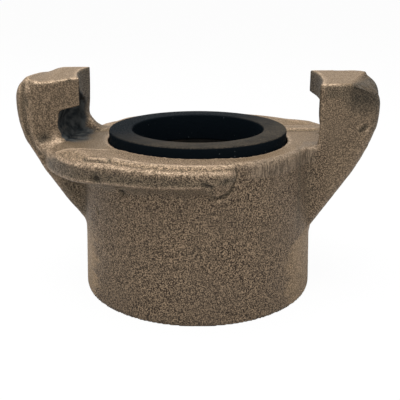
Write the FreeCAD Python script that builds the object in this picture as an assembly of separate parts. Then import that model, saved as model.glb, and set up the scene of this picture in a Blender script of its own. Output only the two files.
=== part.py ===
# Half of a two-lug claw coupling for sandblast hose, with its rubber face washer.
#
# Frame: millimetres, +Z up along the pipe axis, origin at the middle of the base,
# +X through the middle of one lug's root. A half turn about Z brings the coupling onto itself.
# The right lug (on +X) is closed towards -Y and open towards +Y; the left one is its copy.

import os
import FreeCAD, Part
from math import asin, atan2, cos, degrees, hypot, radians, sin, sqrt, tan
from FreeCAD import Vector

# Pipe side
thread_bore = 43.66
thread_depth = 26.0
thread_mouth_chamfer = 2.2
pipe_stop_width = 2.78

# Washer
washer_hole_lip = 0.25
washer_ring_width = 6.6
washer_thickness = 7.94
washer_stands_proud = 2.54
washer_side_gap = 0.4

# Barrel
barrel_height = 43.5
face_rim_width = 6.2
barrel_draft = 2.0
face_edge_break = 1.0
base_edge_break = 0.6

# Lugs
lug_width = 17.5
lug_shift = 3.85
lug_rise = 18.1
lug_top_fall = 0.9
lug_foot_drop = 25.4
lug_bend_round = 25.0
lug_back_straight = 1.2
lug_crown_round = 6.0
lug_crown_drop = 5.3
lug_crown_inset = 3.7
lug_back_thickness = 11.6
lug_back_round = 3.4
hook_half_sweep = 45.0

# Nose and throat of a lug
nose_clearance = 2.1
nose_curve_radius = 25.5
throat_depth = 5.4
throat_rise = 10.9
throat_back_rise = 8.2
throat_corner_round = 2.4
closed_wall = 3.4
wall_foot_width = 4.2
wall_foot_rise = 6.6

# Cam flange
flange_end_angle = 106.7
flange_overhang = 4.5
flange_overhang_at_lug = 11.0
flange_flat_overhang = 1.6
flange_flat_overhang_at_lug = 6.5
flange_ridge_drop = 1.9
flange_rim_height = 2.6
flange_rim_height_at_lug = 5.6
flange_root_drop = 8.0
flange_root_drop_at_lug = 10.5
flange_flare = 2.5
flange_wedge = 1.4
flange_end_round = 5.7
flange_sections = 7
flange_end_sections = 6
flange_end_reach = 84.0

# Worked out from the sizes above
waterway = thread_bore - pipe_stop_width * 2
washer_hole = waterway - washer_hole_lip * 2
washer_diameter = washer_hole + washer_ring_width * 2
face_z = barrel_height
recess_radius = washer_diameter / 2 + washer_side_gap
recess_floor_z = face_z + washer_stands_proud - washer_thickness
top_radius = recess_radius + face_rim_width
nose_radius = top_radius + nose_clearance
throat_radius = nose_radius + throat_depth
lug_radius = throat_radius + lug_back_thickness
lug_top_z = face_z + lug_rise
lug_closed_y = -lug_shift - lug_width / 2
lug_open_y = -lug_shift + lug_width / 2
mid_throat_radius = (nose_radius + throat_radius) / 2
flange_start_y = lug_open_y - lug_width / 3
deep_inside = (recess_radius + top_radius) / 2
flange_inside = (deep_inside + top_radius) / 2
beyond = lug_radius + lug_width
above = lug_top_z + lug_rise
touch = 0.001
axis = Vector(0, 0, 1)
centre = Vector(0, 0, 0)


def barrel_radius(z):
    """Radius of the barrel's drafted outside at height z."""
    return top_radius + (face_z - z) * tan(radians(barrel_draft))


def section(points):
    """Closed face in the XZ plane through (radius, height, corner round) points."""
    corners = [Vector(r, 0, z) for r, z, _ in points]
    edges = []
    last = None
    first = None
    for i, (_, _, size) in enumerate(points):
        corner = corners[i]
        before = (corners[i - 1] - corner).normalize()
        after = (corners[(i + 1) % len(corners)] - corner).normalize()
        start = finish = corner
        if size > 0:
            half = before.getAngle(after) / 2
            start = corner + before * (size / tan(half))
            finish = corner + after * (size / tan(half))
            bisector = (before + after).normalize()
            middle = corner + bisector * (size / sin(half) - size)
        if last is None:
            first = start
        else:
            edges.append(Part.LineSegment(last, start).toShape())
        if size > 0:
            edges.append(Part.Arc(start, middle, finish).toShape())
        last = finish
    edges.append(Part.LineSegment(last, first).toShape())
    return Part.Face(Part.Wire(edges))


def turned(face, start=0.0, sweep=360.0):
    """A section in the XZ plane turned about the pipe axis, from one azimuth through a sweep."""
    solid = face.revolve(centre, axis, sweep)
    solid.rotate(centre, axis, start)
    return solid


def cylinder(radius, low, high):
    return Part.makeCylinder(radius, high - low, Vector(0, 0, low))


def half_turn(shape):
    """The same shape on the other lug's side."""
    copy = shape.copy()
    copy.rotate(centre, axis, 180)
    return copy


def barrel():
    break_z = face_z - face_edge_break
    return turned(section([
        (0, 0, 0),
        (barrel_radius(0) - base_edge_break, 0, 0),
        (barrel_radius(base_edge_break), base_edge_break, 0),
        (barrel_radius(break_z), break_z, 0),
        (top_radius - face_edge_break, face_z, 0),
        (0, face_z, 0),
    ]))


def lug_outline():
    """Outline of a lug from foot to nose: leaning underside, round back, nearly flat top.

    The underside is the tangent from the foot to the round back, whatever their sizes.
    """
    foot_z = face_z - lug_foot_drop
    foot_radius = barrel_radius(foot_z)
    crown_z = lug_top_z - lug_crown_drop
    crown_turn = atan2(lug_crown_inset, lug_crown_drop - lug_top_fall)
    bend_end_z = crown_z - lug_crown_round * tan(crown_turn / 2) - lug_back_straight
    across = lug_radius - lug_bend_round - foot_radius
    up = bend_end_z - foot_z
    lean = atan2(across, up) + asin(lug_bend_round / hypot(across, up))
    bend_z = foot_z + (lug_radius - foot_radius) / tan(lean)
    fall = lug_top_fall / (lug_radius - lug_crown_inset - nose_radius)
    return section([
        (deep_inside, foot_z, 0),
        (foot_radius, foot_z, 0),
        (lug_radius, bend_z, lug_bend_round),
        (lug_radius, crown_z, lug_crown_round),
        (lug_radius - lug_crown_inset, lug_top_z - lug_top_fall, 0),
        (deep_inside, lug_top_z + fall * (nose_radius - deep_inside), 0),
    ])


def lug_blank():
    """The lug before its throat is made: a turned hook cut to the lug's width."""
    hook = turned(lug_outline(), -hook_half_sweep, hook_half_sweep * 2)
    slab = Part.makeBox(beyond, lug_width, above, Vector(0, lug_closed_y, 0))
    hook = hook.common(slab)
    back_edges = []
    for edge in hook.Edges:
        box = edge.BoundBox
        middle = edge.CenterOfMass
        outside = sqrt(middle.x ** 2 + middle.y ** 2) > barrel_radius(middle.z) + touch
        below_crown = middle.z < lug_top_z - lug_crown_drop
        if box.YLength < touch and outside and below_crown:
            back_edges.append(edge)
    return hook.makeFillet(lug_back_round, back_edges)


def throat():
    """The open space behind a nose, as a solid: it runs out on the lug's open side."""
    ceiling_slope = (throat_rise - throat_back_rise) / throat_depth
    profile = section([
        (deep_inside, face_z, 0),
        (throat_radius, face_z, 0),
        (throat_radius, face_z + throat_back_rise, throat_corner_round),
        (deep_inside, face_z + throat_rise + ceiling_slope * (nose_radius - deep_inside), 0),
    ])
    wall_angle = degrees(atan2(lug_closed_y + closed_wall, mid_throat_radius))
    space = turned(profile, wall_angle, hook_half_sweep * 2)
    turn = radians(wall_angle)
    wall_normal = Vector(-sin(turn), cos(turn), 0)
    rounds = []
    for edge in space.Edges:
        ends = [abs(v.Point.dot(wall_normal)) for v in edge.Vertexes]
        box = edge.BoundBox
        on_wall = max(ends) < touch
        if on_wall and box.ZMax > face_z + touch and box.XMax > nose_radius * cos(turn):
            rounds.append(edge)
    return space.makeFillet(throat_corner_round, rounds)


def lug():
    lug_body = lug_blank()
    offset = nose_radius - nose_curve_radius
    sweep = Part.makeCylinder(nose_curve_radius, above, Vector(offset, -lug_shift, face_z))
    return lug_body.cut([throat(), sweep])


def flange_section(angle, share, end_share):
    """Section of the cam flange at one azimuth.

    share runs from 0 at the lug to 1 at the flange's end; end_share runs from 0 to 1
    over the rounded end and shrinks the section as a quarter round.
    """
    flare = (1 - share) ** flange_flare
    wedge = (1 - share) ** flange_wedge
    fade = sqrt(1 - end_share ** 2)
    overhang = flange_overhang + (flange_overhang_at_lug - flange_overhang) * flare
    flat = flange_flat_overhang + (flange_flat_overhang_at_lug - flange_flat_overhang) * flare
    rim_height = flange_rim_height + (flange_rim_height_at_lug - flange_rim_height) * wedge
    root_drop = flange_root_drop + (flange_root_drop_at_lug - flange_root_drop) * wedge
    rim_radius = top_radius + overhang * fade
    flat_radius = top_radius + flat * fade
    ridge_z = face_z - flange_ridge_drop
    rim_low_z = ridge_z - rim_height * fade
    root_z = ridge_z - (root_drop - flange_ridge_drop) * fade
    points = [
        (flange_inside, face_z),
        (flat_radius, face_z),
        (rim_radius, ridge_z),
        (rim_radius, rim_low_z),
        (top_radius, root_z),
        (flange_inside, root_z),
    ]
    turn = radians(angle)
    corners = [Vector(r * cos(turn), r * sin(turn), z) for r, z in points]
    return Part.makePolygon(corners + corners[:1])


def cam_flange():
    """Helical cam flange from the lug's open side, with its rounded end."""
    start_angle = degrees(atan2(flange_start_y, top_radius))
    end_turn = degrees(flange_end_round / top_radius)
    full_angle = flange_end_angle - end_turn
    run = []
    for i in range(flange_sections):
        share = i / (flange_sections - 1)
        run.append(flange_section(start_angle + (full_angle - start_angle) * share, share, 0))
    tip = []
    for i in range(flange_end_sections):
        turn = radians(flange_end_reach * i / (flange_end_sections - 1))
        tip.append(flange_section(full_angle + end_turn * sin(turn), 1, sin(turn)))
    return Part.makeLoft(run, True, False).fuse(Part.makeLoft(tip, True, False))


def left_wall_foot():
    """Small sloping web left by the core at the foot of the left lug's closed wall."""
    wall_y = -lug_closed_y
    behind = -nose_radius
    corners = [
        Vector(behind, wall_y, face_z),
        Vector(behind + wall_foot_width, wall_y, face_z),
        Vector(behind, wall_y, face_z + wall_foot_rise),
    ]
    web = Part.Face(Part.makePolygon(corners + corners[:1]))
    return web.extrude(Vector(0, -closed_wall, 0))


def pipe_side():
    """Everything cut out along the axis: washer recess, waterway, thread bore and its mouth."""
    mouth_radius = thread_bore / 2 + thread_mouth_chamfer
    return [
        cylinder(recess_radius, recess_floor_z, above),
        cylinder(waterway / 2, 0, above),
        cylinder(thread_bore / 2, 0, thread_depth),
        Part.makeCone(mouth_radius, thread_bore / 2, thread_mouth_chamfer),
    ]


def coupling_body():
    right_lug = lug()
    right_flange = cam_flange()
    added = [right_lug, half_turn(right_lug), right_flange, half_turn(right_flange), left_wall_foot()]
    casting = barrel().fuse(added).cut(pipe_side()).removeSplitter()
    return casting.Solids[0]


def face_washer():
    ring = cylinder(washer_diameter / 2, recess_floor_z, recess_floor_z + washer_thickness)
    hole = cylinder(washer_hole / 2, recess_floor_z, recess_floor_z + washer_thickness)
    return ring.cut(hole)


os.makedirs("parts", exist_ok=True)
coupling_body().exportStep("parts/coupling_body.step")
face_washer().exportStep("parts/face_washer.step")
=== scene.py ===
from math import pi, radians

import bmesh
import bpy
import numpy as np
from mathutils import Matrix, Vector


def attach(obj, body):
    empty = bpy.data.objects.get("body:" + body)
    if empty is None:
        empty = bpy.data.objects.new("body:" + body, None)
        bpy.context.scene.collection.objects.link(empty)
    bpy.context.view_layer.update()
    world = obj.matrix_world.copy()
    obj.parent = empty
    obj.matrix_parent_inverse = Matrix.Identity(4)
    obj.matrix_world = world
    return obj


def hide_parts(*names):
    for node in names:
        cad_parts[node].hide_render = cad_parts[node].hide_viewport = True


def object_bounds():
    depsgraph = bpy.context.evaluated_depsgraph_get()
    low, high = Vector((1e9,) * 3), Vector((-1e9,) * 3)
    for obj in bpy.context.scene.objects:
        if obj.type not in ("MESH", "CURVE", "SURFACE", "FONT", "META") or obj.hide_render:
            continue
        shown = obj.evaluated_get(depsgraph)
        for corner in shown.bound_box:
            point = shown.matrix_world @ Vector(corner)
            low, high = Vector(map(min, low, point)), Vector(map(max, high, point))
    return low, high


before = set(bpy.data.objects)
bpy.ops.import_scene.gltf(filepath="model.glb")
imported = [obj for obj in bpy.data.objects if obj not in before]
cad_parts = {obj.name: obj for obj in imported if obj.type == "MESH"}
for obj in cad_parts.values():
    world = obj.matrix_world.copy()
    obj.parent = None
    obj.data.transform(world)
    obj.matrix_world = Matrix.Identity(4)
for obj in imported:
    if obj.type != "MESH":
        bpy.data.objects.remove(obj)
cad_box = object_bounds()


# The casting: one piece of sand-cast brass, a barrel with two hooked lugs and two cam flanges.
# The sand leaves a coarse grain and soft corners. The pipe end, the bore and the washer's recess
# are turned afterwards, and the barrel is ground low on both sides. Sizes are in millimetres.
mm = 0.001
cast_grid = 0.49
turned_grid_share = 0.74
face_height = 43.5
recess_radius = 25.8
recess_floor = 38.1
waterway_radius = 19.05
bore_radius = 21.83
bore_depth = 26.0
bore_mouth_radius = 24.03
thread_seat_radius = 24.6
lug_closed_side = -12.6
lug_open_side = 4.9
nose_radius = 34.1
throat_radius = 39.5
lug_foot_radius = 32.9
lug_foot_height = 18.1
lug_lean = radians(33.8)
lug_bend_radius = 25.0
lug_bend_start = 39.0
lug_bend_height = 52.9
lug_back_radius = 51.1
grain_size = 1.25
grain_height = 0.21
wave_size = 8.0
wave_height = 0.16
grain_seed = 4.0


def rise(low, high, x):
    """0 below low, 1 above high, and smooth between them."""
    share = np.clip((x - low) / (high - low), 0, 1)
    return share * share * (3 - 2 * share)


def within(low, high, soft, x):
    """1 from low to high, fading to 0 over soft on each side."""
    return rise(low - soft, low, x) * (1 - rise(high, high + soft, x))


def read_points(mesh, what):
    """One vector for each point of the mesh: its place or its normal."""
    flat = np.empty(len(mesh.vertices) * 3, np.float32)
    mesh.vertices.foreach_get(what, flat)
    return flat.reshape(-1, 3).astype(float)


def write_points(mesh, points):
    """Move the mesh's points to these places, given in millimetres."""
    mesh.vertices.foreach_set("co", (points * mm).astype(np.float32).ravel())
    mesh.update()


def turned_surface(points):
    """True on the faces that were turned: the recess, the bore with its mouth, and the base."""
    recess_margin = 0.5
    bore_margin = 0.4
    base_margin = 0.8
    radius = np.hypot(points[:, 0], points[:, 1])
    height = points[:, 2]
    recess = (radius < recess_radius + recess_margin) & (height > recess_floor - recess_margin)
    bore = radius < bore_mouth_radius + bore_margin
    base = height < base_margin
    return recess | bore | base


def take_evaluated(piece):
    """Swap the piece's mesh for what its modifiers make of it, and drop the modifiers."""
    bpy.context.view_layer.update()
    ready = piece.evaluated_get(bpy.context.evaluated_depsgraph_get())
    mesh = bpy.data.meshes.new_from_object(ready)
    piece.modifiers.clear()
    piece.data = mesh
    return mesh


def even_casting():
    """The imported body's surface as an even grid, coarser where it was turned."""
    same_point = 0.001
    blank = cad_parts["coupling_body"].data.copy()
    shell = bmesh.new()
    shell.from_mesh(blank)
    bmesh.ops.remove_doubles(shell, verts=shell.verts, dist=same_point * mm)
    shell.to_mesh(blank)
    shell.free()
    holder = bpy.data.objects.new("blank", blank)
    bpy.context.scene.collection.objects.link(holder)
    remesh = holder.modifiers.new("grid", "REMESH")
    remesh.mode = "VOXEL"
    remesh.voxel_size = cast_grid * mm
    remesh.use_smooth_shade = True
    fine = take_evaluated(holder)
    turned = np.flatnonzero(turned_surface(read_points(fine, "co") / mm))
    group = holder.vertex_groups.new(name="turned")
    group.add(turned.tolist(), 1.0, "REPLACE")
    thinner = holder.modifiers.new("thinner", "DECIMATE")
    thinner.ratio = turned_grid_share
    thinner.vertex_group = "turned"
    mesh = take_evaluated(holder)
    bpy.data.objects.remove(holder)
    return mesh


casting_mesh = even_casting()
edge_ends = np.empty(len(casting_mesh.edges) * 2, np.int32)
casting_mesh.edges.foreach_get("vertices", edge_ends)
edge_ends = edge_ends.reshape(-1, 2)
edge_count = np.bincount(edge_ends.ravel(), minlength=len(casting_mesh.vertices))


def neighbour_mean(values):
    """Mean of each point's neighbours along the mesh's edges."""
    one, other = edge_ends[:, 0], edge_ends[:, 1]
    total = np.empty(values.shape)
    for i in range(values.shape[1]):
        column = values[:, i]
        total[:, i] = np.bincount(one, column[other], len(edge_count))
        total[:, i] += np.bincount(other, column[one], len(edge_count))
    return total / edge_count[:, None]


def true_turned_faces(points):
    """Set the points near each turned face exactly on it, and open the bore for its thread."""
    reach = 0.4
    past_base_edge = 34.0
    over_bore_floor = 0.1
    radius = np.hypot(points[:, 0], points[:, 1])
    height = points[:, 2].copy()
    round_to = radius.copy()
    for wall, low, high in ((recess_radius, recess_floor - reach, face_height + reach),
                            (waterway_radius, bore_depth - reach, recess_floor + reach),
                            (bore_radius, 0.0, bore_depth + reach)):
        near = (np.abs(radius - wall) < reach) & (height > low) & (height < high)
        round_to[near] = wall
    for level, inner, outer in ((recess_floor, waterway_radius - reach, recess_radius + reach),
                                (bore_depth, waterway_radius - reach, bore_radius + reach),
                                (0.0, bore_radius - reach, past_base_edge)):
        near = (np.abs(height - level) < reach) & (radius > inner) & (radius < outer)
        height[near] = level
    shoulder = (height < bore_depth + over_bore_floor) & (round_to < thread_seat_radius)
    share = (round_to - waterway_radius) / (bore_radius - waterway_radius)
    opened = waterway_radius + np.clip(share, 0, 1) * (thread_seat_radius - waterway_radius)
    round_to = np.where(shoulder, opened, round_to)
    out = points.copy()
    out[:, :2] *= (round_to / np.maximum(radius, 1))[:, None]
    out[:, 2] = height
    return out


def soften_casting(points):
    """Sand rounds every corner a little and fills the inner corners with wide fillets."""
    root_passes = 42
    flange_root_passes = 9
    skin_passes = 2
    pull_share = 0.5
    lug_inner_reach = 27.5
    skin = np.where(turned_surface(points), 0.0, 1.0)[:, None]
    normals = read_points(casting_mesh, "normal")
    at_lug = np.abs(points[:, 0]) > lug_inner_reach
    for step in range(root_passes):
        pull = neighbour_mean(points) - points
        valley = ((pull * normals).sum(1) > 0) & (at_lug | (step < flange_root_passes))
        points = points + pull * valley[:, None] * skin * pull_share
    for _ in range(skin_passes):
        points = points + (neighbour_mean(points) - points) * skin * pull_share
    return points


def push_out(points, amount):
    """Move points away from the axis by amount."""
    radius = np.maximum(np.hypot(points[:, 0], points[:, 1]), 1)
    out = points.copy()
    out[:, 0] += amount * points[:, 0] / radius
    out[:, 1] += amount * points[:, 1] / radius
    return out


def shape_lug_backs(points):
    """The right lug came out thinner at its back, and the left one bulges low on its underside."""
    left_bulge = 0.65
    most_thinned = 0.55
    channel_depth = 0.28
    thinnest_back = 6
    x, y, z = points.T
    radius = np.hypot(x, y)
    leaning = lug_foot_radius + (z - lug_foot_height) * np.tan(lug_lean)
    above_bend = np.clip(z - lug_bend_height, -lug_bend_radius, lug_bend_radius)
    rounded = lug_back_radius - lug_bend_radius + np.sqrt(lug_bend_radius ** 2 - above_bend ** 2)
    back = np.where(z < lug_bend_start, leaning, np.maximum(rounded, lug_back_radius - thinnest_back))
    depth = (radius - lug_foot_radius) / np.maximum(back - lug_foot_radius, 0.5)
    above_foot = z > lug_foot_height
    on_right = (x > 0) & above_foot & (y > lug_closed_side - 2) & (y < lug_open_side + 2)
    on_left = (x < 0) & above_foot & (y < -lug_closed_side + 2) & (y > -lug_open_side - 2)
    right_thinning = np.interp(z, [20, 36, 41, 44, 48.5, 62], [0.55, 0.55, 1.15, 1.4, 0.9, 0.9])
    thin = np.minimum(right_thinning, most_thinned * (back - lug_foot_radius))
    thin = thin * rise(0.2, 1.0, depth) * (1 - rise(58.0, 60.5, z))
    thin = thin * (1 - rise(51.0, 56.5, z) * rise(-6.0, 0.0, y))
    # The flange's wide end lies beside the lug's open side and keeps its place.
    beside = rise(lug_open_side - 0.5, lug_open_side + 0.5, y)
    thin = thin * (1 - within(34.0, face_height, 1.0, z) * beside)
    bulge = left_bulge * within(26.0, 34.0, 6.0, z) * rise(0.4, 1.0, depth)
    # The mould's lip left a shallow channel down the left lug, beside its outer edge.
    inset = back - radius
    front = on_left & (y < -lug_open_side + 2.5)
    lip = within(3.3, 3.9, 0.5, inset) - 1.3 * within(1.9, 2.5, 0.6, inset)
    channel = channel_depth * lip * within(36.0, 57.0, 3.0, z) * front
    out = push_out(points, np.where(on_left, bulge, 0) - np.where(on_right, thin, 0))
    out[:, 1] -= channel
    return out


def past_ground_corner(x, y):
    """How far a point lies past the edge where the right lug's front corner was ground off."""
    edge_start = 39.8
    facing_x = 0.878
    facing_y = 0.48
    return (x - edge_start) * facing_x - (y - lug_closed_side) * facing_y


def shape_lug_tops(points):
    """Lug tops as cast: each is uneven, and the right one is ground off at its front corner."""
    corner_top = 60.5
    corner_slope = 0.5
    x, y, z = points.T
    reach = np.hypot(x, y) - nose_radius
    lug_width = lug_open_side - lug_closed_side
    right_front = np.interp(reach, [0, 5.7, 14, 17], [1.4, 1.0, 0.2, 0.0])
    right_back = np.interp(reach, [0, 3.8, 7.8, 12.1, 17], [-0.3, -0.45, -0.7, -1.2, -2.2])
    left_front = np.interp(reach, [0, 5, 9.5, 12.3, 13.8, 15.5], [0.7, 1.25, 1.4, 0.6, -0.7, -1.1])
    left_back_reach = [0, 7.2, 9.5, 10.6, 11.8, 14, 17]
    left_back = np.interp(reach, left_back_reach, [-0.7, -0.85, -0.4, 0.05, 0.4, 0.1, -1.0])
    right_share = np.clip((lug_open_side - y) / lug_width, 0, 1)
    left_share = np.clip((-lug_closed_side - y) / lug_width, 0, 1)
    right_drop = right_back + (right_front - right_back) * right_share
    left_drop = left_back + (left_front - left_back) * left_share
    out = points.copy()
    out[:, 2] -= np.where(x > 0, right_drop, left_drop) * rise(51.0, 59.5, z)
    away = past_ground_corner(x, y)
    over = out[:, 2] - (corner_top - corner_slope * away)
    cut = np.maximum(over, 0) * rise(-0.3, 0.6, away)
    out[:, 2] -= np.where((x > 0) & (z > 50), cut, 0)
    return out


def shape_throats(points):
    """The left throat's roof hangs lower and the right one higher, and both noses stand further in."""
    right_roof_lift = 0.65
    foot_reach = 2.0
    roof_reach = 0.3
    right_nose_reach = 0.45
    left_nose_reach = 0.2
    left_nose_back_reach = 0.65
    x, y, z = points.T
    radius = np.hypot(x, y)
    out = points.copy()
    lowered = within(50.5, 54.6, 3.2, z) * within(30.0, 39.3, 1.5, radius) * (x < 0)
    lowered *= 1 - rise(4.0, 9.0, y)
    out[:, 2] -= np.interp(radius, [33, 34.5, 36.1, 38.6], [1.35, 1.2, 0.85, 0.4]) * lowered
    raised = within(52.0, 55.5, 2.0, z) * within(30.0, 37.0, 2.5, radius) * (x > 0)
    out[:, 2] += right_roof_lift * raised
    # The left throat's back wall curves in at its foot and at its roof.
    wall = (x < 0) * within(36.0, 40.2, 0.8, -x) * (y < 9.0)
    foot = foot_reach * (1 - rise(42.8, 47.2, z)) * (z > 41.5)
    foot = foot + roof_reach * within(49.8, 51.5, 1.2, z)
    out[:, 0] += foot * wall * rise(36.5, 39.0, -x)
    nose = within(52.0, 62.0, 3.0, z) * (1 - rise(34.0, 37.5, radius))
    left_inwards = left_nose_reach + left_nose_back_reach * rise(2.0, 11.0, y) * rise(47.0, 60.0, z)
    inwards = np.where(x > 20, right_nose_reach, left_inwards)
    return push_out(out, -inwards * nose * (np.abs(x) > 20))


def band_half_width(x):
    """How far the face's smooth band reaches to the front and the back: it narrows to the lugs."""
    width_at_lugs = 13.8
    lug_distance = 34
    widening = 2.2
    widening_run = 13
    return width_at_lugs + widening * np.clip((lug_distance - np.abs(x)) / widening_run, -0.2, 1.6)


def shape_face(points):
    """The sealing face: a smooth band is cut lower across it, and the rest stands as cast."""
    band_depth = 0.35
    uncut_height = 0.5
    head_reach = 1.7
    head_lift = 0.4
    root_reach = 1.9
    shoulder_reach = 1.5
    shoulder_lift = 1.9
    ridge_lift = 0.45
    x, y, z = points.T
    radius = np.hypot(x, y)
    top = rise(41.0, 43.2, z) * (1 - rise(44.2, 46.5, z))
    band_edge = band_half_width(x)
    uncut_front = rise(band_edge, band_edge + 0.7, -y) * (1 - rise(4, 13, x))
    uncut_back = rise(band_edge - 2.0, band_edge + 5.0, y)
    out = points.copy()
    out[:, 2] += top * (uncut_height * uncut_back - band_depth * (1 - uncut_front) * (1 - uncut_back))
    # Behind the left lug the barrel's head is wider, up to the lug's root.
    azimuth = np.degrees(np.arctan2(y, x))
    head = within(120, 152, 11, azimuth) * rise(34.0, 41.0, z) * (1 - rise(44.5, 47, z))
    head *= rise(29.0, 31.5, radius)
    root = within(147, 157, 6, azimuth) * rise(34.0, 41.0, z) * (1 - rise(44.5, 47, z))
    root *= rise(29.0, 31.5, radius) * (1 - rise(38.0, 40.0, radius))
    # Behind the right lug the flange's shoulder is fuller and reaches further out.
    shoulder = within(6, 27, 12, azimuth) * rise(38.0, 41.6, z) * (1 - rise(44.5, 46, z))
    shoulder *= y > lug_open_side
    lift = shoulder * shoulder_lift * rise(34.0, 39.5, radius)
    out[:, 2] += lift + head_lift * head * (1 - rise(132, 142, azimuth))
    # Beyond the shoulder the flange's ridge is a little higher.
    ridge = within(34, 66, 9, azimuth)
    out[:, 2] += ridge_lift * ridge * within(40.8, 43.6, 1.0, z) * rise(33.0, 35.5, radius)
    spread = shoulder_reach * shoulder * rise(33.0, 37.0, radius)
    return push_out(out, head_reach * head + root_reach * root + spread)


def fill_left_throat(points):
    """Behind the left throat the nose's wall runs out onto the face in a fillet."""
    smooth_passes = 6
    smooth_share = 0.6
    fillet_foot = 43.9
    fillet_rise = 3.2
    fillet_start = -29.2
    fillet_run = 3.0
    x, y, z = points.T
    fillet = fillet_foot + fillet_rise * np.clip((fillet_start - x) / fillet_run, 0, 1) ** 1.3
    out = points.copy()
    out[:, 2] += np.maximum(fillet - z, 0) * within(9.0, 12.8, 1.5, y) * (z > 42.5) * (x > -35.5)
    loose = within(9.5, 20.0, 2.0, y) * within(36.0, 47.5, 2.0, z) * within(28.0, 37.0, 1.5, -x)
    for _ in range(smooth_passes):
        out += (neighbour_mean(out) - out) * loose[:, None] * smooth_share
    return out


def shape_left_flange(points):
    """The front flange spreads and hangs lower at the left lug, and its ridge stands higher."""
    hang = 0.5
    ridge_lift = 0.6
    spread = 1.9
    x, y, z = points.T
    radius = np.hypot(x, y)
    azimuth = np.degrees(np.arctan2(y, x))
    near_lug = (1 - rise(-146, -124, azimuth)) * (azimuth < -100)
    rim = within(33.0, 43.0, 2.5, z) * rise(33.5, 38.0, radius)
    out = points.copy()
    lower = hang * near_lug * within(34.0, 38.0, 3.5, z)
    out[:, 2] -= lower * rise(33.5, 38.0, radius) * (y < -3.5)
    ridge = within(-130, -84, 14, azimuth) * within(40.8, 42.0, 1.0, z) * rise(33.8, 36.0, radius)
    out[:, 2] += ridge_lift * ridge
    return push_out(out, spread * near_lug * rim * (y < -lug_open_side - 0.3))


def smooth_flange_corner(points):
    """Where the front flange's ridge runs into the left lug the sand leaves a soft corner."""
    passes = 9
    share = 0.9
    corner_x = -40.5
    corner_spread = 12
    x, y, z = points.T
    corner = np.exp(-(x - corner_x) ** 2 / corner_spread)
    corner = corner * within(-16.0, -5.0, 0.8, y) * within(40.3, 44.5, 0.5, z)
    for _ in range(passes):
        points = points + share * corner[:, None] * (neighbour_mean(points) - points)
    return points


def mark(points, normals, start, end, width, depth):
    """Press a dent of the given depth along a line from start to end, or raise it below zero."""
    start, end = np.array(start, float), np.array(end, float)
    middle = points[np.argmin(((points - (start + end) / 2) ** 2).sum(1))]
    shift = middle - (start + end) / 2
    start, end = start + shift, end + shift
    along = end - start
    share = ((points - start) @ along) / max(along @ along, 1e-9)
    nearest = start + np.clip(share, 0, 1)[:, None] * along
    distance = ((points - nearest) ** 2).sum(1)
    dent = depth * np.exp(-distance / (2 * width ** 2))
    return points - normals * dent[:, None], dent


# Each mark: where it starts and ends, how wide it is, and how deep, with raised ones below zero.
casting_marks = [
    ((3.2, -32.6, 34.8), (6.3, -32.2, 35.2), 0.32, 0.45),
    ((6.3, -32.2, 35.2), (8.7, -31.6, 36.9), 0.32, 0.45),
    ((8.7, -31.6, 36.9), (9.9, -31.1, 39.8), 0.32, 0.45),
    ((9.9, -31.1, 39.8), (9.6, -31.4, 42.2), 0.32, 0.4),
    ((3.6, -34.2, 36.3), (6.6, -33.4, 37.4), 0.9, -0.55),
    ((7.4, -33.2, 38.6), (7.9, -32.6, 41.0), 0.8, -0.3),
    ((-28.2, -23.6, 42.7), (-22.9, -26.6, 43.2), 0.55, -0.4),
    ((-28.6, -24.9, 42.6), (-23.0, -27.8, 43.0), 0.3, 0.16),
    ((-29.3, -23.4, 42.9), (-28.9, -24.4, 42.9), 0.35, 0.3),
    ((-22.3, -26.0, 43.2), (-22.1, -27.2, 43.2), 0.35, 0.3),
    ((41.5, -11.6, 59.6), (43.2, -12.6, 57.2), 0.35, 0.4),
    ((43.6, -9.8, 59.4), (45.6, -12.2, 57.2), 0.3, 0.45),
    ((45.0, -9.2, 59.0), (47.0, -12.0, 56.6), 0.3, -0.3),
    ((46.2, -7.6, 58.8), (48.2, -10.8, 56.4), 0.35, 0.4),
    ((48.0, -4.5, 58.6), (49.6, -8.0, 56.6), 0.3, 0.35),
    ((-25.8, -27.4, 39.0), (-25.2, -27.9, 39.0), 0.7, 0.8),
    ((-19.4, -25.8, 34.9), (-19.2, -25.9, 34.5), 0.65, 0.75),
    ((-20.1, -28.3, 36.5), (-19.6, -28.3, 36.2), 0.5, 0.6),
    ((-18.1, -26.8, 34.1), (-18.1, -26.8, 34.1), 0.4, 0.3),
    ((1.2, -36.5, 39.6), (2.2, -36.5, 39.2), 0.5, 0.65),
    ((2.7, -36.4, 38.9), (3.3, -36.4, 38.5), 0.5, 0.65),
    ((6.8, -35.4, 40.2), (6.8, -35.4, 40.2), 0.5, 0.6),
    ((2.0, -35.2, 37.4), (5.6, -34.0, 36.9), 0.8, -0.5),
    ((45.3, -12.6, 48.8), (44.2, -12.6, 47.6), 0.34, 0.6),
    ((45.6, -12.6, 47.9), (44.8, -12.6, 46.9), 0.3, -0.25),
    ((45.9, -12.6, 57.0), (45.9, -12.6, 55.2), 0.35, 0.25),
    ((-43.0, -4.9, 44.1), (-43.7, -4.9, 43.6), 0.85, 0.55),
    ((-44.2, -4.9, 42.1), (-42.6, -5.2, 41.8), 1.15, -1.0),
    ((-40.6, -5.4, 43.3), (-38.9, -6.2, 42.9), 1.1, -0.6),
    ((-47.8, -4.9, 55.3), (-47.1, -4.9, 53.3), 0.35, 0.3),
    ((-35.2, -4.9, 60.2), (-35.2, -4.9, 60.2), 0.4, 0.4),
    ((28.3, -14.3, 42.9), (29.0, -13.3, 42.9), 0.45, -0.4),
    ((-27.0, -18.0, 27.0), (-26.8, -18.3, 26.0), 0.45, 0.3),
]

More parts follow.
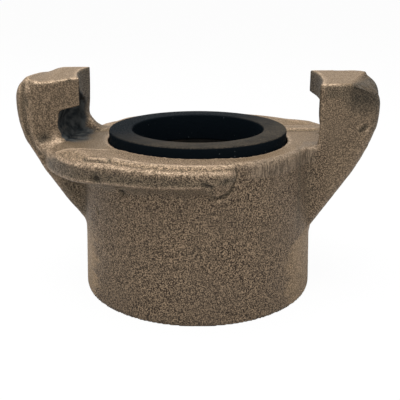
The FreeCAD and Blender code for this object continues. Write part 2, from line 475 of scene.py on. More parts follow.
points = true_turned_faces(read_points(casting_mesh, "co") / mm)
write_points(casting_mesh, points)
for shape in (soften_casting, shape_lug_backs, shape_lug_tops, shape_throats, shape_face,
              shape_left_flange, fill_left_throat):
    points = shape(points)
write_points(casting_mesh, points)
normals = read_points(casting_mesh, "normal")
pressed = np.zeros(len(points))
for start, end, width, depth in casting_marks:
    points, dent = mark(points, normals, start, end, width, depth)
    pressed = np.maximum(pressed, dent)
points = smooth_flange_corner(points)
write_points(casting_mesh, points)


def painted_edge_highlights(x, y, z, radius, azimuth):
    """Painted highlights, brightest on the front edge of the face's band, on the face's front rim and on
    two lumps.
    """
    band_highlight = 2.4
    rim_highlight = 1.2
    lump_highlight = 1.6
    band_edge = band_half_width(x)
    edge_highlight = band_highlight * (x < 0) * within(band_edge, band_edge + 0.9, 0.4, -y)
    edge_highlight = edge_highlight * within(42.2, 44, 0.4, z)
    face_rim = within(-128, -76, 5, azimuth) * within(32.7, 33.3, 0.35, radius) * (z > 42.2)
    edge_highlight = np.maximum(edge_highlight, rim_highlight * face_rim)
    for lump_x, lump_y, lump_z, spread in ((-43.4, -5.0, 42.0, 2.2), (-40.0, -6.0, 43.0, 3.0)):
        distance = (x - lump_x) ** 2 + (y - lump_y) ** 2 + (z - lump_z) ** 2
        edge_highlight = np.maximum(edge_highlight, lump_highlight * np.exp(-distance / spread))
    return edge_highlight


def ground_and_sheen_patches(z, radius, azimuth):
    """The barrel is ground low on its right side, up to a ragged edge, and low on its left; both patches
    are painted lighter as a sheen.
    """
    right_share = 0.75
    wander = 1.6 * np.sin(z * 0.9) + 1.1 * np.sin(z * 2.3 + 1)
    ground_edge = -42 + wander + 22 * rise(16.5, 21.0, z)
    right = rise(ground_edge - 4.0, ground_edge + 3.0, azimuth) * (1 - rise(20, 40, azimuth))
    right *= (1 - rise(19.5, 23.5, z)) * (radius < 36)
    from_left = np.where(azimuth > 90, azimuth - 360, azimuth) + 2 * wander
    left = within(-198, -153, 8, from_left) * (1 - rise(14, 24, z)) * (radius < 36)
    return np.maximum(right_share * right, left)


def throat_soot_and_shade(x, z, radius, lug_x, lug_y, inward):
    """Soot and painted shade on the walls of both throats, and on the floor and the nose of the left one.
    """
    in_throat = within(43.4, 53.6, 0.8, z) * (lug_y < lug_open_side - 0.1)
    in_throat = in_throat * (lug_x < throat_radius + 0.8)
    walls = in_throat * rise(32.0, 34.5, lug_x) * rise(lug_closed_side + 1.0, lug_closed_side + 3.0, lug_y)
    walls = walls * ((x < 0) | (z > 45.5))
    walls = walls * (1 - (x < 0) * (1 - rise(44.5, 46.5, z)) * rise(38.0, 39.3, lug_x))
    front_edge = 9.6 - 2.1 * np.clip(lug_x - 35.5, 0, 6)
    floor = rise(28.5, 33.5, lug_x) * rise(-12.5, -9.5, lug_y)
    floor = floor * (1 - rise(front_edge - 8.0, front_edge + 0.8, lug_y))
    floor = floor * (z < 44.6) * (1 - rise(37.8, 39.3, lug_x)) * (x < 0) * (z > 42)
    on_nose = (x < 0) * (radius < 36.0) * (z > 48) * (inward > 0.35) * (z < 58.2)
    soot_width = np.interp(z, [52.0, 53.3, 54.9, 55.8, 57.4, 58.2], [14.0, 13.4, 10.8, 8.8, 3.0, 0.0])
    on_nose = on_nose * (1 - rise(soot_width - 1.6, soot_width + 0.8, lug_open_side - lug_y))
    return walls, floor, on_nose


def flange_shade_and_highlight(y, z, radius, azimuth, up):
    """Painted shade on each flange's rim and below it, and a painted highlight along the rim's lower edge.
    """
    rim_high_end = 39.0
    rim_fall = 3.0
    flange_start = -1.7
    flange_run = 98.2
    rim_edge_width = 0.34
    along = np.where(azimuth < 0, azimuth + 180, azimuth)
    to_end = 1 - np.clip((along - flange_start) / flange_run, 0, 1)
    rim_low = rim_high_end - rim_fall * to_end ** 1.4
    at_flange = (along > 14) * (along < 108) * (radius > 34.3) * (np.abs(y) > 6.5)
    rim = rise(rim_low, rim_low + 0.6, z) * (1 - rise(40.6, 41.3, z)) * (1 - rise(0.1, 0.5, up))
    rim = rim * at_flange
    rim_edge_highlight = np.exp(-((z - rim_low) / rim_edge_width) ** 2) * at_flange * (along < 96)
    under_flange_shade = within(33.0, 60.0, 1.5, z) * (1 - rise(rim_low - 1.2, rim_low - 0.5, z)) * (along > 10)
    under_flange_shade = under_flange_shade * (along < 97) * (radius > 32.9) * (radius < 42) * (np.abs(y) > 6.5)
    return rim, rim_edge_highlight, under_flange_shade


def right_lug_shade_and_patch(x, y, z, radius):
    """Painted shade on the right lug under its top, in a crease and down its outer edge, and a darker
    patch.
    """
    under_top_shade = (x > 0) * within(57.0, 59.4, 0.9, z) * (y < -10) * within(34.5, 41.5, 1.5, x)
    patch = (x > 0) * (y < -10) * np.exp(-((x - 40.6) ** 2 + (z - 56.4) ** 2) / 6.0)
    crease_shade = (x > 24) * (y < -10) * within(27.0, 27.4, 0.5, x) * within(25.0, 41.0, 4.0, z)
    crease_shade = crease_shade * (radius < 34.5)
    outer = (x > 0) * (y < -10) * (1 - rise(1.6, 2.6, 50.2 - radius)) * within(46.0, 58.0, 3.0, z)
    return [0.75 * under_top_shade, 0.7 * patch, 0.7 * crease_shade, 0.4 * outer]


def left_channel_shade_and_lip_highlight(x, y, z, radius):
    """The channel down the left lug's front gets painted shade, and the lip beside it a painted highlight.
    """
    inset = 50.9 - radius
    on_front = (x < 0) * (y < -2.5)
    channel = on_front * within(2.2, 2.6, 0.5, inset) * within(44.0, 57.0, 2.5, z)
    lip = on_front * within(3.9, 4.3, 0.35, inset) * within(44.0, 58.0, 2.5, z)
    return channel, lip


def casting_surface(points, normals, pressed):
    """How the skin varies: its grain, worn edges, soot, ground patches and dark stains, and where painted
    highlights, sheen and shade lie on it.
    """
    full_crest = 0.045
    full_hollow = 0.03
    full_dent = 0.3
    below_face = face_height - 0.8
    x, y, z = points.T
    radius = np.hypot(x, y)
    azimuth = np.degrees(np.arctan2(y, x))
    turned = turned_surface(points) & (z < below_face)
    up = normals[:, 2]
    # The left lug is read as the right one, turned half round.
    side = np.sign(x)
    lug_x = side * x
    lug_y = side * y
    inward = -side * normals[:, 0]

    # Edges are rubbed bright, with a painted highlight that is strongest where they face up, and the
    # hollows beside them get painted shade.
    crest = -((neighbour_mean(points) - points) * normals).sum(1, keepdims=True)
    crest = neighbour_mean(crest)[:, 0]
    worn_and_highlight = np.clip(crest / full_crest, 0, 1) * (1 - turned) * (0.3 + 0.7 * rise(0.0, 0.5, up))
    worn_and_highlight = worn_and_highlight * (1 - rise(0.15, 0.45, inward) * (z > 50))
    hollow_shade = np.clip(-crest / full_hollow, 0, 1)

    # The face's band and the lug tops are rubbed nearly smooth, and painted lighter where they face the
    # overhead lamp.
    band_edge = band_half_width(x)
    on_face = rise(0.75, 0.95, up) * within(42.4, 44.6, 0.5, z) * (radius < 46)
    band = on_face * np.maximum(1 - rise(band_edge, band_edge + 0.5, -y), rise(6, 13, x))
    lug_top = rise(0.6, 0.9, up) * rise(57.0, 58.5, z)
    # The ground patches are also painted lighter, as a sheen.
    ground_and_sheen = ground_and_sheen_patches(z, radius, azimuth)
    filed = (x > 10) * (y < -6) * within(39.5, 43.8, 1.0, z) * (radius > 30.3) * (radius < 34.5)

    # Painted shade darkens the hollows, the undersides of edges and the faces turned from the light, with
    # soot in the throats and dirt where nothing rubs.
    walls, floor, on_nose = throat_soot_and_shade(x, z, radius, lug_x, lug_y, inward)
    # Painted shade on the flange rims and on the barrel under them, and a painted highlight on the rims'
    # lower edges.
    rim, rim_edge_highlight, under_rim_shade = flange_shade_and_highlight(y, z, radius, azimuth, up)
    # Painted shade in the left lug's channel and a painted highlight on its lip.
    channel, lip = left_channel_shade_and_lip_highlight(x, y, z, radius)
    # Painted shade on the left lug's web below the flange.
    web_shade = within(22.0, 35.5, 2.0, z) * within(31.5, 38.5, 1.5, -x) * within(-9.0, -3.0, 1.0, y)
    past_corner = past_ground_corner(x, y)
    # Painted shade on the right lug's ground-off corner and on the noses' inner faces.
    corner = rise(0.0, 1.4, past_corner) * rise(50.0, 57.0, z) * (x > 0)
    nose = within(52.0, 62.0, 1.0, z) * rise(0.3, 0.8, inward) * (radius < 37)
    # Painted shade on the face's band beside the left lug.
    shade_beside_left_lug = on_face * (1 - rise(band_edge - 0.3, band_edge, -y)) * (1 - rise(-30.0, -22.0, x)) * (y < 12)
    soot_and_shade = np.maximum.reduce([walls, 0.95 * floor, on_nose])
    stains_and_shade = [0.7 * rim, 0.55 * under_rim_shade, 0.6 * channel, 0.6 * web_shade, 0.95 * corner, 0.85 * nose]
    # Painted shade in the hollows and in the dents, darker in deeper dents.
    stains_and_shade += [0.5 * shade_beside_left_lug, 0.6 * hollow_shade * (1 - turned), np.clip(pressed / full_dent, 0, 0.95)]
    stain_and_shade = np.maximum.reduce(stains_and_shade + right_lug_shade_and_patch(x, y, z, radius))

    # Painted shade is darkest in the bore, on the left nose and in deep dents, and it dims the right lug's
    # ground-off corner and nose.
    bore_shade = (radius < recess_radius + 0.3) & (z > 1.0) & (z < below_face)
    deep_dent_shade = np.clip((pressed - 0.45) / 0.15, 0, 0.7)
    darkest_shade = [bore_shade, 0.85 * on_nose, deep_dent_shade, 0.42 * corner, 0.2 * nose * (x > 0)]

    ground_off = rise(-1.6, -0.2, past_corner) * (x > 0) * (z > 50)
    # Painted highlights on the band's front edge, the face's front rim and two lumps.
    edge_highlight = painted_edge_highlights(x, y, z, radius, azimuth)
    worn_and_highlight = np.maximum.reduce([worn_and_highlight * (1 - ground_off), 0.5 * rim_edge_highlight, 0.3 * lip, edge_highlight])
    calm = rise(31.0, 34.0, radius) * np.maximum(rise(36.0, 38.5, radius), z > 46)
    calm = calm * (z > 20) * (np.abs(x) > 29) * ((lug_y < lug_open_side + 1) | (radius > 42))
    grain = 1 - np.maximum.reduce([0.75 * band, 0.55 * lug_top, 0.6 * ground_and_sheen, 1.0 * turned, 0.6 * nose])
    grain = grain * (1 - 0.25 * calm)
    # Painted light on the face's up-facing cast top and its outer edge.
    face_edge = (radius > 32.5) * within(41.2, 44.2, 0.8, z) * rise(0.45, 0.85, up)
    painted_face_light = on_face * (1 - band) + 0.5 * face_edge
    return {"grain": grain, "worn_and_highlight": worn_and_highlight, "soot_and_shade": soot_and_shade, "ground_and_sheen": ground_and_sheen, "calm": calm,
            "darkest_shade": np.maximum.reduce(darkest_shade), "stain_and_shade": stain_and_shade, "filed": filed * rise(10, 16, x),
            "rubbed_and_lit": np.maximum(band, lug_top),
            "painted_face_light": np.clip(painted_face_light * (radius < 46) * (z < 46), 0, 1)}


normals = read_points(casting_mesh, "normal")
for name, values in casting_surface(points, normals, pressed).items():
    layer = casting_mesh.attributes.new(name, "FLOAT", "POINT")
    layer.data.foreach_set("value", np.asarray(values, np.float32))


class Nodes:
    """Short words for the nodes that a tree is built from."""

    def __init__(self, tree):
        self.tree = tree
        self.nodes = tree.nodes
        self.links = tree.links

    def put(self, value, socket):
        """Set the socket to a plain value, or link it to another node's output."""
        if isinstance(value, (int, float, tuple, str)):
            socket.default_value = value
        else:
            self.links.new(value, socket)

    def add(self, kind, inputs, **settings):
        """A new node with these settings, and with its inputs set or linked."""
        node = self.nodes.new(kind)
        for name, value in settings.items():
            setattr(node, name, value)
        for name, value in inputs.items():
            self.put(value, node.inputs[name])
        return node

    def math(self, how, one, other=0.0):
        return self.add("ShaderNodeMath", {0: one, 1: other}, operation=how).outputs[0]

    def plus(self, one, other):
        return self.math("ADD", one, other)

    def minus(self, one, other):
        return self.math("SUBTRACT", one, other)

    def times(self, one, other):
        return self.math("MULTIPLY", one, other)

    def larger(self, one, other):
        return self.math("MAXIMUM", one, other)

    def vector(self, how, one, other):
        """Work on two vectors, or on a vector and a number where it scales."""
        second = "Scale" if how == "SCALE" else 1
        return self.add("ShaderNodeVectorMath", {0: one, second: other}, operation=how).outputs[0]


class ShapeTree(Nodes):
    """A Geometry Nodes tree with a named input for each size and one for its material."""

    def __init__(self, name, sizes, takes_mesh=False):
        super().__init__(bpy.data.node_groups.new(name, "GeometryNodeTree"))
        face = self.tree.interface
        if takes_mesh:
            face.new_socket("Geometry", in_out="INPUT", socket_type="NodeSocketGeometry")
        self.inputs = {}
        for size in sizes:
            socket = face.new_socket(size, in_out="INPUT", socket_type="NodeSocketFloat")
            self.inputs[size] = socket.identifier
        socket = face.new_socket("Material", in_out="INPUT", socket_type="NodeSocketMaterial")
        self.inputs["Material"] = socket.identifier
        face.new_socket("Geometry", in_out="OUTPUT", socket_type="NodeSocketGeometry")
        self.start = self.nodes.new("NodeGroupInput").outputs

    def end_with(self, shape):
        """Make the shape real, give it the material and hand it out."""
        real = self.add("GeometryNodeRealizeInstances", {0: shape})
        paint = self.add("GeometryNodeSetMaterial", {
            "Geometry": real.outputs[0], "Material": self.start["Material"]})
        self.add("NodeGroupOutput", {0: paint.outputs[0]})

    def run_on(self, piece, values):
        """Set the tree's inputs by identifier, and keep the plain mesh that it makes."""
        modifier = piece.modifiers.new("shape", "NODES")
        modifier.node_group = self.tree
        for size, value in values.items():
            modifier[self.inputs[size]] = value
        return take_evaluated(piece)


def sand_grain_tree():
    """Nodes that raise the sand's grain on the skin, as far as the piece's grain layer allows."""
    noise_detail = 1.5
    middle = 0.5
    tree = ShapeTree("sand_grain", ("Grain Size", "Grain Height", "Wave Size", "Wave Height", "Seed"),
                     takes_mesh=True)
    start = tree.start
    place = tree.add("GeometryNodeInputPosition", {}).outputs[0]
    normal = tree.add("GeometryNodeInputNormal", {}).outputs[0]
    skin = tree.add("GeometryNodeInputNamedAttribute", {"Name": "grain"}, data_type="FLOAT")
    heights = []
    for size, height in (("Grain Size", "Grain Height"), ("Wave Size", "Wave Height")):
        noise = tree.add("ShaderNodeTexNoise", {
            "Vector": place, "W": start["Seed"], "Scale": tree.math("DIVIDE", 1.0, start[size]),
            "Detail": noise_detail}, noise_dimensions="4D")
        heights.append(tree.times(tree.minus(noise.outputs[0], middle), start[height]))
    held = tree.times(tree.plus(*heights), skin.outputs[0])
    shift = tree.add("GeometryNodeSetPosition", {
        "Geometry": start["Geometry"], "Offset": tree.vector("SCALE", normal, held)})
    tree.end_with(shift.outputs[0])
    return tree


class Finish(Nodes):
    """A new material with one Principled surface, and short words for the nodes behind it."""

    def __init__(self, name):
        self.material = bpy.data.materials.new(name)
        self.material.use_nodes = True
        super().__init__(self.material.node_tree)
        self.nodes.clear()
        self.end = self.nodes.new("ShaderNodeOutputMaterial")
        self.surface = self.nodes.new("ShaderNodeBsdfPrincipled")
        self.put(self.surface.outputs["BSDF"], self.end.inputs["Surface"])
        self.place = self.nodes.new("ShaderNodeTexCoord").outputs["Object"]

    def coat(self, inputs):
        """Set or link the surface's inputs, and return the material."""
        for name, value in inputs.items():
            self.put(value, self.surface.inputs[name])
        return self.material

    def noise(self, size, detail=2.0, rough=0.5, stretch=None):
        """Noise with spots about size millimetres wide."""
        place = self.place
        if stretch:
            place = self.add("ShaderNodeMapping", {"Vector": place, "Scale": stretch}).outputs[0]
        return self.add("ShaderNodeTexNoise", {
            "Vector": place, "Scale": 1 / (size * mm), "Detail": detail, "Roughness": rough}).outputs[0]

    def ramp(self, value, low, high, start=0.0, end=1.0):
        """From start to end, smoothly, while the value goes from low to high."""
        return self.add("ShaderNodeMapRange", {
            "Value": value, "From Min": low, "From Max": high, "To Min": start, "To Max": end},
            interpolation_type="SMOOTHSTEP").outputs[0]

    def layer(self, name):
        """A value that each point of the mesh carries."""
        return self.add("ShaderNodeAttribute", {}, attribute_name=name).outputs["Fac"]

    def blend(self, share, one, other):
        """One colour going over into the other: sockets 6 and 7 and output 2 are the colours."""
        return self.add("ShaderNodeMix", {0: share, 6: one, 7: other}, data_type="RGBA").outputs[2]

    def bump(self, height, depth, under=None):
        """Relief of about depth millimetres, on top of another relief where one is given."""
        inputs = {"Distance": depth * mm, "Height": height}
        if under is not None:
            inputs["Normal"] = under
        return self.add("ShaderNodeBump", inputs).outputs[0]


def cast_brass():
    """Dull sand-cast brass: dark oxide in the grain's hollows and rubbed metal on its tips."""
    # Each pair holds the darkest and the lightest colour of one kind of skin.
    as_cast = (0.018, 0.012, 0.008, 1), (0.292, 0.210, 0.136, 1)
    # The face's cast top, lighter as painted light where it faces up.
    on_face = (0.062, 0.042, 0.025, 1), (0.45, 0.322, 0.205, 1)
    # Rubbed flats, lighter as painted light from above.
    rubbed_lit_flat = (0.155, 0.106, 0.062, 1), (0.30, 0.210, 0.124, 1)
    # Ground patches, lighter as a painted sheen.
    ground_sheen_flat = (0.125, 0.087, 0.052, 1), (0.38, 0.268, 0.160, 1)
    # Rubbed edges, made lighter still as a painted highlight.
    worn_edge_highlight = (0.26, 0.185, 0.12, 1), (0.62, 0.47, 0.33, 1)
    filed_flat = (0.070, 0.053, 0.037, 1), (0.29, 0.22, 0.155, 1)
    # Dirt, and painted shade in hollows, dents and places out of the light.
    dirt_and_shade = (0.027, 0.021, 0.014, 1), (0.135, 0.104, 0.066, 1)
    # Soot, together with painted shade, in the throats.
    grey_soot_and_shade = (0.026, 0.031, 0.034, 1), (0.086, 0.090, 0.089, 1)
    # The deepest painted shade.
    deep_shade = (0.010, 0.011, 0.011, 1), (0.022, 0.019, 0.016, 1)
    clouded = (0.110, 0.083, 0.058, 1)
    evened = (0.160, 0.117, 0.076, 1)

    mix = Finish("cast_brass")
    grain, worn_and_highlight, soot_and_shade = mix.layer("grain"), mix.layer("worn_and_highlight"), mix.layer("soot_and_shade")
    ground_and_sheen, stain_and_shade, filed = mix.layer("ground_and_sheen"), mix.layer("stain_and_shade"), mix.layer("filed")
    rubbed_and_lit, painted_face_light = mix.layer("rubbed_and_lit"), mix.layer("painted_face_light")
    calm, darkest_shade = mix.layer("calm"), mix.layer("darkest_shade")
    speck = mix.noise(size=0.34, detail=3.0, rough=0.65)
    clump = mix.noise(size=1.1, detail=2.0)
    cloud = mix.noise(size=9.0, detail=3.0)
    streak = mix.noise(size=0.42, detail=2.0, rough=0.5, stretch=(1.0, 1.0, 0.12))

    tips = mix.ramp(mix.plus(speck, mix.times(clump, 0.10)), 0.45, 0.70)
    colour = mix.blend(tips, *as_cast)
    colour = mix.blend(mix.ramp(cloud, 0.35, 0.65, 0.0, 0.25), colour, clouded)
    colour = mix.blend(mix.times(calm, 0.36), colour, evened)
    # Painted light on the face's cast top and its edge.
    colour = mix.blend(mix.times(painted_face_light, 0.8), colour, mix.blend(tips, *on_face))
    # Ground patches with a painted sheen.
    colour = mix.blend(mix.times(ground_and_sheen, 0.95), colour, mix.blend(tips, *ground_sheen_flat))
    # Rubbed flats, painted lighter where they face up.
    colour = mix.blend(mix.times(rubbed_and_lit, 0.8), colour, mix.blend(tips, *rubbed_lit_flat))
    # Rubbed edges with a painted highlight on them.
    shining = mix.times(worn_and_highlight, mix.ramp(clump, 0.3, 0.6, 0.35, 1.0))
    colour = mix.blend(shining, colour, mix.blend(tips, *worn_edge_highlight))
    scraped = mix.blend(mix.ramp(streak, 0.40, 0.62), *filed_flat)
    colour = mix.blend(mix.times(filed, 0.6), colour, scraped)
    # Dirt and painted shade.
    stained_and_shaded = mix.times(stain_and_shade, mix.ramp(cloud, 0.2, 0.6, 0.6, 1.0))
    colour = mix.blend(stained_and_shaded, colour, mix.blend(tips, *dirt_and_shade))
    # Soot and painted shade in the throats.
    black = mix.blend(mix.ramp(mix.noise(2.4, 3.0, 0.5), 0.34, 0.68), *grey_soot_and_shade)
    ragged = mix.times(mix.minus(mix.noise(3.0, 3.0), 0.5), 0.9)
    sooted_and_shaded = mix.ramp(mix.plus(soot_and_shade, ragged), 0.1, 0.95)
    sooted_and_shaded = mix.times(sooted_and_shaded, mix.ramp(soot_and_shade, 0.0, 0.15))
    colour = mix.blend(sooted_and_shaded, colour, black)
    # The deepest painted shade.
    colour = mix.blend(darkest_shade, colour, mix.blend(mix.ramp(cloud, 0.4, 0.6), *deep_shade))

    # Where soot and painted shade lie, the metal and its specular fade.
    unshaded = mix.minus(1.0, mix.larger(sooted_and_shaded, darkest_shade))
    metal = mix.times(mix.ramp(tips, 0.0, 1.0, 0.35, 0.7), unshaded)
    metal = mix.times(metal, mix.ramp(stain_and_shade, 0.0, 1.0, 1.0, 0.4))
    dull = mix.ramp(tips, 0.0, 1.0, 0.72, 0.5)
    height = mix.plus(speck, mix.times(clump, 0.4))
    height = mix.times(height, mix.minus(1.0, mix.times(sooted_and_shaded, 0.6)))
    rough = mix.bump(mix.times(height, mix.plus(grain, 0.12)), 0.22)
    return mix.coat({
        "Base Color": colour, "Metallic": metal, "Specular IOR Level": mix.times(unshaded, 0.2),
        "Roughness": mix.minus(dull, mix.times(rubbed_and_lit, 0.05)),
        "Normal": mix.bump(mix.times(streak, filed), 0.2, rough)})


brass = cast_brass()
casting = bpy.data.objects.new("casting", casting_mesh)
bpy.context.scene.collection.objects.link(casting)
grained = sand_grain_tree().run_on(casting, {
    "Grain Size": grain_size * mm, "Grain Height": grain_height * mm, "Wave Size": wave_size * mm,
    "Wave Height": wave_height * mm, "Seed": grain_seed, "Material": brass})
box_low, box_high = (np.array(c) / mm for c in cad_box)
write_points(grained, np.clip(read_points(grained, "co") / mm, box_low, box_high))
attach(casting, "root")
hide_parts("coupling_body")


# The pipe thread: a taper thread cut in the casting's bore, 11 1/2 turns to the inch.
# It is the bore's own brass, cut with a tap, so its crests are flat where the bore ends them.
thread_pitch = 25.4 / 11.5
thread_depth = 1.77
thread_root_radius = 24.05
thread_taper = 1 / 32
thread_length = 25.9
thread_clear = 0.03
thread_steps_round = 120
thread_steps_pitch = 8
thread_ring_overlap = 0.15


def thread_tree():
    """Nodes for a ring with a taper thread inside. Its lower end is left open."""
    same_point = 0.005
    full_turn = 2 * pi
    tree = ShapeTree("pipe_thread", ("Pitch", "Depth", "Root Radius", "Taper", "Crest Radius",
                                     "Seat Radius", "Mouth Radius", "Length", "Clear"))
    start = tree.start
    rows = int(thread_length / thread_pitch * thread_steps_pitch) + 1
    grid = tree.add("GeometryNodeMeshGrid", {
        "Size X": 1.0, "Size Y": 1.0, "Vertices X": thread_steps_round + 1, "Vertices Y": rows + 3})
    place = tree.add("GeometryNodeInputPosition", {})
    split = tree.add("ShaderNodeSeparateXYZ", {0: place.outputs[0]})
    turn = tree.times(tree.plus(split.outputs[0], 0.5), full_turn)
    row = tree.math("ROUND", tree.times(tree.plus(split.outputs[1], 0.5), rows + 2.0))
    along = tree.math("MINIMUM", tree.math("DIVIDE", row, rows - 1.0), 1.0)
    # The rows past the thread are the ring's outer wall: the first is at its top, the others low.
    low = tree.math("GREATER_THAN", row, rows + 0.5)
    outer = tree.math("GREATER_THAN", row, rows - 0.5)
    height = tree.times(tree.times(along, start["Length"]), tree.minus(1.0, low))
    height = tree.plus(height, start["Clear"])
    turned = tree.math("DIVIDE", turn, full_turn)
    phase = tree.minus(tree.math("DIVIDE", height, start["Pitch"]), turned)
    tooth = tree.times(tree.math("PINGPONG", phase, 0.5), 2.0)
    root = tree.minus(start["Root Radius"], tree.times(height, start["Taper"]))
    inner = tree.larger(tree.minus(root, tree.times(tooth, start["Depth"])), start["Crest Radius"])
    # The mouth's chamfer cuts the first crests back at 45 degrees.
    inner = tree.larger(inner, tree.minus(start["Mouth Radius"], height))
    radius = tree.times(inner, tree.minus(1.0, outer))
    radius = tree.plus(radius, tree.times(start["Seat Radius"], outer))
    where = tree.add("ShaderNodeCombineXYZ", {
        0: tree.times(radius, tree.math("COSINE", turn)),
        1: tree.times(radius, tree.math("SINE", turn)), 2: height})
    shape = tree.add("GeometryNodeSetPosition", {
        "Geometry": grid.outputs["Mesh"], "Position": where.outputs[0]})
    weld = tree.add("GeometryNodeMergeByDistance", {
        "Geometry": shape.outputs[0], "Distance": same_point * mm})
    tree.end_with(weld.outputs[0])
    return tree


def made_by(name, tree, values):
    """A piece that a tree makes from nothing, with its seams welded and its faces turned alike."""
    same_point = 0.002
    piece = bpy.data.objects.new(name, bpy.data.meshes.new(name))
    bpy.context.scene.collection.objects.link(piece)
    mesh = tree.run_on(piece, values)
    shell = bmesh.new()
    shell.from_mesh(mesh)
    bmesh.ops.remove_doubles(shell, verts=shell.verts, dist=same_point * mm)
    bmesh.ops.recalc_face_normals(shell, faces=shell.faces)
    shell.to_mesh(mesh)
    shell.free()
    return piece


def bore_brass():
    """Brass inside the bore: cut metal gone dark with oil and dust, and darkened further as painted shade.
    """
    oiled_and_shaded_metal = (0.05, 0.042, 0.034, 1), (0.12, 0.095, 0.07, 1)
    mix = Finish("bore_brass")
    film = mix.ramp(mix.noise(2.5, 3.0), 0.35, 0.65)
    return mix.coat({
        "Base Color": mix.blend(film, *oiled_and_shaded_metal), "Roughness": mix.ramp(film, 0, 1, 0.45, 0.65),
        "Metallic": 0.6, "Normal": mix.bump(mix.noise(0.3, 2.0), 0.05)})


thread = made_by("pipe_thread", thread_tree(), {
    "Pitch": thread_pitch * mm, "Depth": thread_depth * mm, "Root Radius": thread_root_radius * mm,
    "Taper": thread_taper, "Crest Radius": bore_radius * mm, "Clear": thread_clear * mm,
    "Seat Radius": (thread_seat_radius + thread_ring_overlap) * mm,
    "Mouth Radius": bore_mouth_radius * mm, "Length": thread_length * mm, "Material": bore_brass()})
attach(thread, "root")


# The face washer: a moulded ring of black rubber, pushed into the recess and held by its own grip.
# It stands proud of the face, its edges are rounded, and dust and a painted sheen grey its top.
washer_outside = 25.35
washer_hole = 18.8
washer_bottom = recess_floor
washer_top = 46.04
washer_edge = 0.45
washer_edge_steps = 5
washer_steps_round = 160
washer_unevenness = 0.12
washer_wave_size = 14


def washer_tree():
    """Nodes that sweep a rounded section round a circle."""
    tree = ShapeTree("washer", ("Middle Radius", "Width", "Thickness", "Edge", "Height", "Unevenness"))
    start = tree.start
    ring = tree.add("GeometryNodeCurvePrimitiveCircle", {
        "Resolution": washer_steps_round, "Radius": start["Middle Radius"]})
    section = tree.add("GeometryNodeCurvePrimitiveQuadrilateral", {
        "Width": start["Width"], "Height": start["Thickness"]})
    corner = tree.add("GeometryNodeFilletCurve", {
        "Curve": section.outputs[0], "Radius": start["Edge"], "Count": washer_edge_steps}, mode="POLY")
    sweep = tree.add("GeometryNodeCurveToMesh", {
        "Curve": ring.outputs[0], "Profile Curve": corner.outputs[0]})
    lift = tree.add("ShaderNodeCombineXYZ", {2: start["Height"]})
    noise = tree.add("ShaderNodeTexNoise", {"Scale": 1 / (washer_wave_size * mm)})
    centred = tree.vector("SUBTRACT", noise.outputs["Color"], (0.5, 0.5, 0.5))
    waves = tree.vector("SCALE", centred, start["Unevenness"])
    shift = tree.add("GeometryNodeSetPosition", {
        "Geometry": sweep.outputs[0], "Offset": tree.vector("ADD", lift.outputs[0], waves)})
    tree.end_with(shift.outputs[0])
    return tree


def washer_rubber():
    """Black rubber, dusted grey and brown where it faces up, with a painted sheen that makes it lightest
    at the front right.
    """
    clean_rubber = (0.0040, 0.0065, 0.0090, 1)
    dust_and_sheen_colours = (0.026, 0.0225, 0.0175, 1), (0.076, 0.063, 0.048, 1)
    crumb_grey = (0.09, 0.10, 0.11, 1)
    mix = Finish("washer_rubber")
    split = mix.add("ShaderNodeSeparateXYZ", {0: mix.place})
    dust_and_sheen = mix.ramp(split.outputs["Z"], (washer_top - 0.35) * mm, (washer_top - 0.05) * mm)
    across = mix.minus(mix.times(split.outputs["X"], 0.7), split.outputs["Y"])
    # Painted sheen: the top grows lighter towards the front right.
    sheen_side = mix.ramp(across, -16 * mm, 24 * mm, 0.05, 1.0)
    cloud = mix.ramp(mix.noise(4.0, 4.0, 0.6), 0.25, 0.7, 0.55, 1.0)
    speck = mix.ramp(mix.noise(0.5, 2.0), 0.35, 0.7)
    share = mix.times(mix.times(dust_and_sheen, sheen_side), cloud)
    colour = mix.blend(share, clean_rubber, mix.blend(speck, *dust_and_sheen_colours))
    crumbs = mix.ramp(mix.noise(0.7, 1.0), 0.74, 0.80)
    colour = mix.blend(mix.times(crumbs, 0.5), colour, crumb_grey)
    relief = mix.plus(mix.noise(0.45, 3.0), mix.noise(2.0, 2.0))
    return mix.coat({
        "Base Color": colour, "Roughness": mix.ramp(speck, 0, 1, 0.5, 0.75),
        "Specular IOR Level": 0.008, "Normal": mix.bump(relief, 0.09)})


washer = made_by("rubber_washer", washer_tree(), {
    "Middle Radius": (washer_outside + washer_hole) / 2 * mm,
    "Width": (washer_outside - washer_hole) * mm, "Thickness": (washer_top - washer_bottom) * mm,
    "Edge": washer_edge * mm, "Height": (washer_top + washer_bottom) / 2 * mm,
    "Unevenness": washer_unevenness * mm, "Material": washer_rubber()})
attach(washer, "root")
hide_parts("face_washer")


# The floor and the white around it: a plain pale floor that keeps a faint shadow of the part.
# The camera and mirror-like surfaces see white all round.
floor_size = 3.0
floor_seen_white = 0.96
room_light = 0.4
white = (1, 1, 1, 1)
floor_mesh = bpy.data.meshes.new("floor")
corners = [(-floor_size, -floor_size, 0), (floor_size, -floor_size, 0),
           (floor_size, floor_size, 0), (-floor_size, floor_size, 0)]
floor_mesh.from_pydata(corners, [], [(0, 1, 2, 3)])
floor = bpy.data.objects.new("floor", floor_mesh)
bpy.context.scene.collection.objects.link(floor)
mix = Finish("floor_white")
mix.coat({"Base Color": (0.92, 0.92, 0.92, 1), "Roughness": 1.0, "Specular IOR Level": 0.0})
path = mix.add("ShaderNodeLightPath", {})
glow = mix.add("ShaderNodeEmission", {})
seen = mix.times(path.outputs["Is Camera Ray"], floor_seen_white)
both = mix.add("ShaderNodeMixShader", {0: seen, 1: mix.surface.outputs[0], 2: glow.outputs[0]})
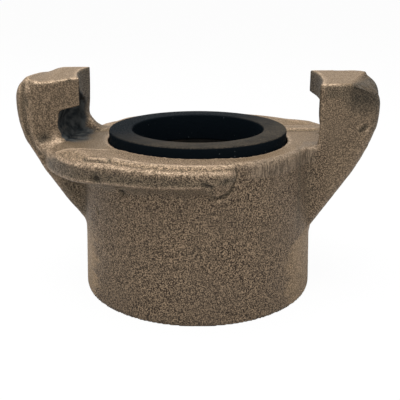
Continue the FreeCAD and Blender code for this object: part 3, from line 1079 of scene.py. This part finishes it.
mix.put(both.outputs[0], mix.end.inputs["Surface"])
floor_mesh.materials.append(mix.material)

world = bpy.data.worlds.new("studio")
bpy.context.scene.world = world
world.use_nodes = True
room = Nodes(world.node_tree)
plain = room.nodes["Background"]
plain.inputs["Color"].default_value = white
plain.inputs["Strength"].default_value = room_light
backdrop = room.add("ShaderNodeBackground", {"Color": white, "Strength": 1.0})
path = room.add("ShaderNodeLightPath", {})
mirrored = room.larger(path.outputs["Is Glossy Ray"], path.outputs["Is Transmission Ray"])
seen = room.larger(path.outputs["Is Camera Ray"], mirrored)
both = room.add("ShaderNodeMixShader", {0: seen, 1: plain.outputs[0], 2: backdrop.outputs[0]})
room.put(both.outputs[0], room.nodes["World Output"].inputs["Surface"])


# The lamps: a wide soft one overhead and a weak one at the front right, as in a small light tent.
# They are set at a plain level, so that colours come out about as they are written.
# Places and sizes here and at the camera are in metres.
lamp_target = (0, 0, 0.03)


def lamp(name, place, size, power):
    """A square lamp that shines on the middle of the part."""
    data = bpy.data.lights.new(name, "AREA")
    data.energy = power
    data.size = size
    thing = bpy.data.objects.new(name, data)
    thing.location = place
    thing.rotation_euler = (Vector(lamp_target) - Vector(place)).to_track_quat("-Z", "Y").to_euler()
    bpy.context.scene.collection.objects.link(thing)


lamp("overhead", place=(-0.08, -0.06, 0.6), size=0.5, power=4.6)
lamp("front", place=(0.35, -0.55, 0.30), size=0.4, power=0.8)


# The camera stands a little above the part and close to it, as in the photograph.
# Its lens and its tilt were worked out from the round edges of the washer and the base.
camera_place = (0, -0.19189, 0.08703)
camera_down = 18.18
camera_lens = 61.07
camera_data = bpy.data.cameras.new("camera")
camera_data.lens = camera_lens
camera_data.sensor_width = 36.0
camera_data.shift_x = 0.0055
camera_data.clip_start = 0.01
camera = bpy.data.objects.new("camera", camera_data)
camera.location = camera_place
camera.rotation_euler = (radians(90 - camera_down), 0, 0)
bpy.context.scene.collection.objects.link(camera)
bpy.context.scene.camera = camera
bpy.context.scene.view_settings.view_transform = "Standard"
